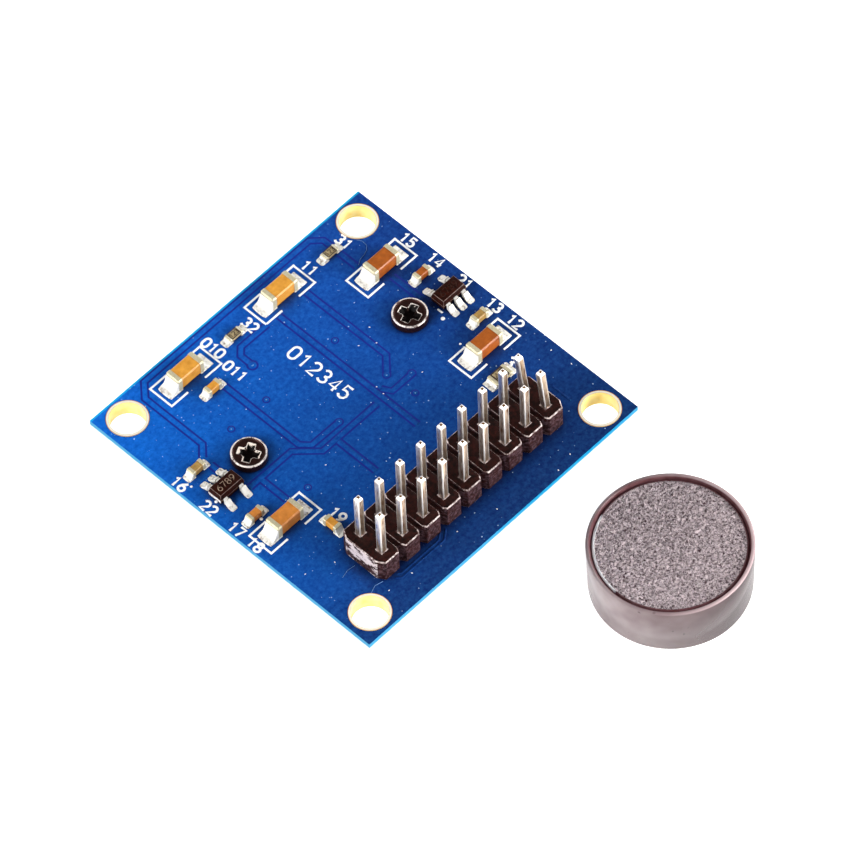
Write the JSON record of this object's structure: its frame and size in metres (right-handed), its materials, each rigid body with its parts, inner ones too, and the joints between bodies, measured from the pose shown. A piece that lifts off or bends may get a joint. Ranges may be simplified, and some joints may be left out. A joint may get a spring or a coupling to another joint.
{
  "type": "camera module",
  "caption": "Small square camera board lying on its screw-in lens, with a two-row pin header on top, plated corner holes and a round push-on lens cap beside it.",
  "frame": {"origin": "centre of the four corner holes, on the board's pin-side face", "axes": "+Z out of the board's pin side, which is up as it rests on its lens; +X along the pin rows; +Y from the pin header towards the other edge"},
  "size_m": [0.0381, 0.0476, 0.0255],
  "materials": {
    "barrel_black": "black anodised aluminium",
    "board_blue": "blue solder mask over glass-fibre laminate, glossy",
    "ceramic_amber": "fired ceramic, satin",
    "chip_end_metal": "tin-plated end caps, dull",
    "ceramic_ochre": "fired ceramic, satin",
    "ceramic_brown": "fired ceramic, satin",
    "solder": "bright solder",
    "gold_plating": "gold-plated copper, bright",
    "lens_glass": "coated optical glass",
    "header_black": "moulded black plastic, satin",
    "pin_tin": "tin-plated brass, bright",
    "screw_black": "black-zinc steel, satin",
    "sensor_base": "silicon chip package",
    "filter_glass": "infrared-cut filter glass",
    "cap_black": "moulded black plastic, grained top",
    "holder_black": "moulded black plastic, matt",
    "lead_tin": "tinned leads",
    "regulator_black": "moulded epoxy, matt",
    "resistor_body": "glazed resistor body, dark",
    "sensor_cover": "thin cover glass"
  },
  "bodies": {
    "module": {"board": "board_blue", "capacitor_c1": "ceramic_amber", "capacitor_c10": "ceramic_amber", "capacitor_c10_ends": "chip_end_metal", "capacitor_c11": "ceramic_ochre", "capacitor_c11_ends": "chip_end_metal", "capacitor_c1_ends": "chip_end_metal", "capacitor_c2": "ceramic_brown", "capacitor_c2_ends": "chip_end_metal", "capacitor_c3": "ceramic_ochre", "capacitor_c3_ends": "chip_end_metal", "capacitor_c4": "ceramic_brown", "capacitor_c4_ends": "chip_end_metal", "capacitor_c5": "ceramic_brown", "capacitor_c5_ends": "chip_end_metal", "capacitor_c6": "ceramic_ochre", "capacitor_c6_ends": "chip_end_metal", "capacitor_c7": "ceramic_brown", "capacitor_c7_ends": "chip_end_metal", "capacitor_c8": "ceramic_brown", "capacitor_c8_ends": "chip_end_metal", "capacitor_c9": "ceramic_ochre", "capacitor_c9_ends": "chip_end_metal", "capacitor_solder": "solder", "corner_plating": "gold_plating", "header_housing": "header_black", "header_joints": "solder", "header_pins": "pin_tin", "holder_screws": "screw_black", "image_sensor": "sensor_base", "infrared_filter": "filter_glass", "lens_cap": "cap_black", "lens_holder": "holder_black", "regulator_leads": "lead_tin", "regulator_solder": "solder", "regulator_u1": "regulator_black", "regulator_u2": "regulator_black", "resistor_ends": "chip_end_metal", "resistor_r1": "resistor_body", "resistor_r2": "resistor_body", "resistor_r3": "resistor_body", "resistor_solder": "solder", "sensor_glass": "sensor_cover"},
    "lens": {"lens_barrel": "barrel_black", "retaining_ring": "barrel_black", "front_lens": "lens_glass", "front_spacer": "barrel_black", "middle_lens": "lens_glass", "aperture_stop": "barrel_black", "rear_lens": "lens_glass", "rear_spacer": "barrel_black"}
  },
  "joints": [
    {"name": "focus_turn", "type": "hinge", "parent": "module", "child": "lens", "pos_m": [0, 0.00407, -0.0131], "axis": [0, 0, -1], "range_deg": [-360, 360]}
  ]
}
